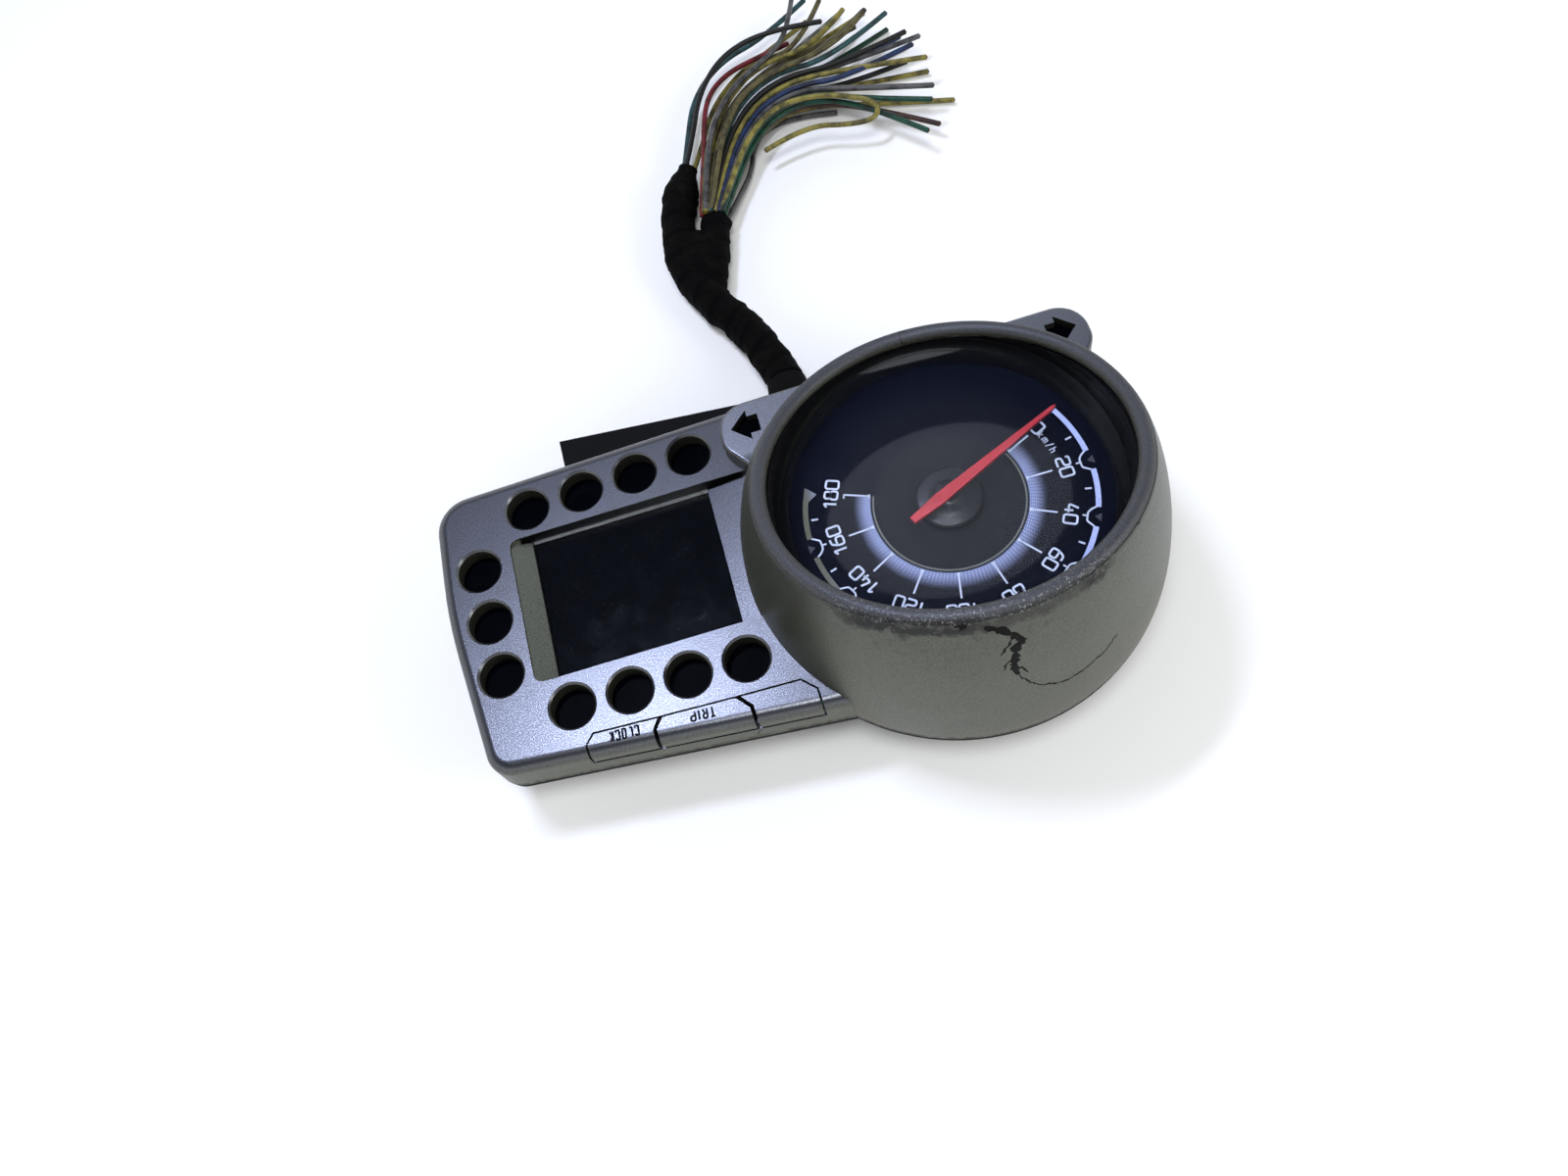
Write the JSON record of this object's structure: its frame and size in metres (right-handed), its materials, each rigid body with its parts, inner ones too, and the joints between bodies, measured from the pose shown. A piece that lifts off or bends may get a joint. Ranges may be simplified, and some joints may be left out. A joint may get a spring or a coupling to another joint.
{
  "type": "instrument cluster",
  "caption": "Motorcycle instrument cluster: hooded round speedometer with a red needle, display panel with warning lamps and push buttons, and a cut wiring harness.",
  "frame": {"origin": "centre of the bounding box's bottom, harness left out, on the surface that the rear casing rests on", "axes": "+Z out of the dial face, +X along the display panel towards the speedometer drum, +Y towards the edge that the harness leaves from"},
  "size_m": [0.1838, 0.2614, 0.0748],
  "materials": {
    "black_plastic": "matte",
    "silver_paint": "satin",
    "rubber": "matte",
    "carbon": "matte",
    "brass": "satin",
    "steel": "satin",
    "clear_plastic": "gloss",
    "lcd_glass": "gloss",
    "dial_print": "satin",
    "red_plastic": "gloss",
    "white_plastic": "matte",
    "board": "satin",
    "copper": "satin",
    "magnet": "satin",
    "smoked_lens": "gloss",
    "cloth_tape": "matte",
    "wire_white": "satin",
    "wire_yellow": "satin",
    "wire_red": "satin",
    "wire_green": "satin",
    "wire_blue": "satin",
    "wire_black": "satin"
  },
  "bodies": {
    "cluster": {"front_cover": "silver_paint", "keypad_membrane": "rubber", "contact_pills": "carbon", "rear_casing": "black_plastic", "casing_seal": "rubber", "mount_inserts": "brass", "casing_screws": "steel", "board_screws": "steel", "hood_liner": "black_plastic", "dial_lens": "clear_plastic", "dial_face": "dial_print", "dial_light_guide": "clear_plastic", "dial_carrier": "white_plastic", "motor_base": "black_plastic", "motor_lid": "black_plastic", "motor_stator": "steel", "motor_coils": "copper", "circuit_board": "board", "processor_chip": "black_plastic", "capacitors": "black_plastic", "led_chips": "white_plastic", "indicator_lenses": "smoked_lens", "indicator_light_box": "white_plastic", "turn_lens_left": "smoked_lens", "turn_lens_right": "smoked_lens", "lcd_window": "clear_plastic", "lcd_glass": "lcd_glass", "lcd_frame": "steel", "lcd_backlight": "white_plastic", "lcd_contact_strips": "rubber", "board_header": "white_plastic", "loom_plug": "white_plastic", "inner_loom": "cloth_tape", "cable_gland": "rubber", "harness_trunk": "cloth_tape", "taped_stub": "cloth_tape", "wire_01": "wire_white", "wire_02": "wire_yellow", "wire_03": "wire_red", "wire_04": "wire_green", "wire_05": "wire_blue", "wire_06": "wire_white", "wire_07": "wire_yellow", "wire_08": "wire_black", "wire_09": "wire_white", "wire_10": "wire_yellow", "wire_11": "wire_black", "wire_12": "wire_green", "wire_13": "wire_green", "wire_14": "wire_black", "wire_15": "wire_yellow"},
    "needle_assembly": {"needle": "red_plastic", "needle_hub": "black_plastic", "needle_shaft": "steel", "motor_output_gear": "white_plastic"},
    "gauge_idler": {"motor_idler": "white_plastic"},
    "gauge_rotor": {"motor_rotor": "magnet"},
    "clock_button": {"button_clock": "silver_paint"},
    "trip_button": {"button_trip": "silver_paint"},
    "mode_button": {"button_mode": "silver_paint"}
  },
  "joints": [
    {"name": "needle_sweep", "type": "hinge", "parent": "cluster", "child": "needle_assembly", "pos_m": [0.03875, -0.0055, 0.043], "axis": [0, 0, -1], "range_deg": [0, 228]},
    {"name": "idler_spin", "type": "hinge", "parent": "cluster", "child": "gauge_idler", "pos_m": [0.03875, -0.0187, 0.027], "axis": [0, 0, -1], "range_deg": [-1026, 0]},
    {"name": "rotor_spin", "type": "hinge", "parent": "cluster", "child": "gauge_rotor", "pos_m": [0.02966, -0.01345, 0.025], "axis": [0, 0, -1], "range_deg": [0, 4104]},
    {"name": "clock_press", "type": "slide", "parent": "cluster", "child": "clock_button", "axis": [0, 0, -1], "range_m": [0, 0.0007], "stiffness_N_per_m": 3000, "deforming": ["keypad_membrane"]},
    {"name": "trip_press", "type": "slide", "parent": "cluster", "child": "trip_button", "axis": [0, 0, -1], "range_m": [0, 0.0007], "stiffness_N_per_m": 3000},
    {"name": "mode_press", "type": "slide", "parent": "cluster", "child": "mode_button", "axis": [0, 0, -1], "range_m": [0, 0.0007], "stiffness_N_per_m": 3000}
  ],
  "couplings": [
    {"joint": "idler_spin", "follows": "needle_sweep", "ratio": -4.5},
    {"joint": "rotor_spin", "follows": "needle_sweep", "ratio": 18}
  ]
}
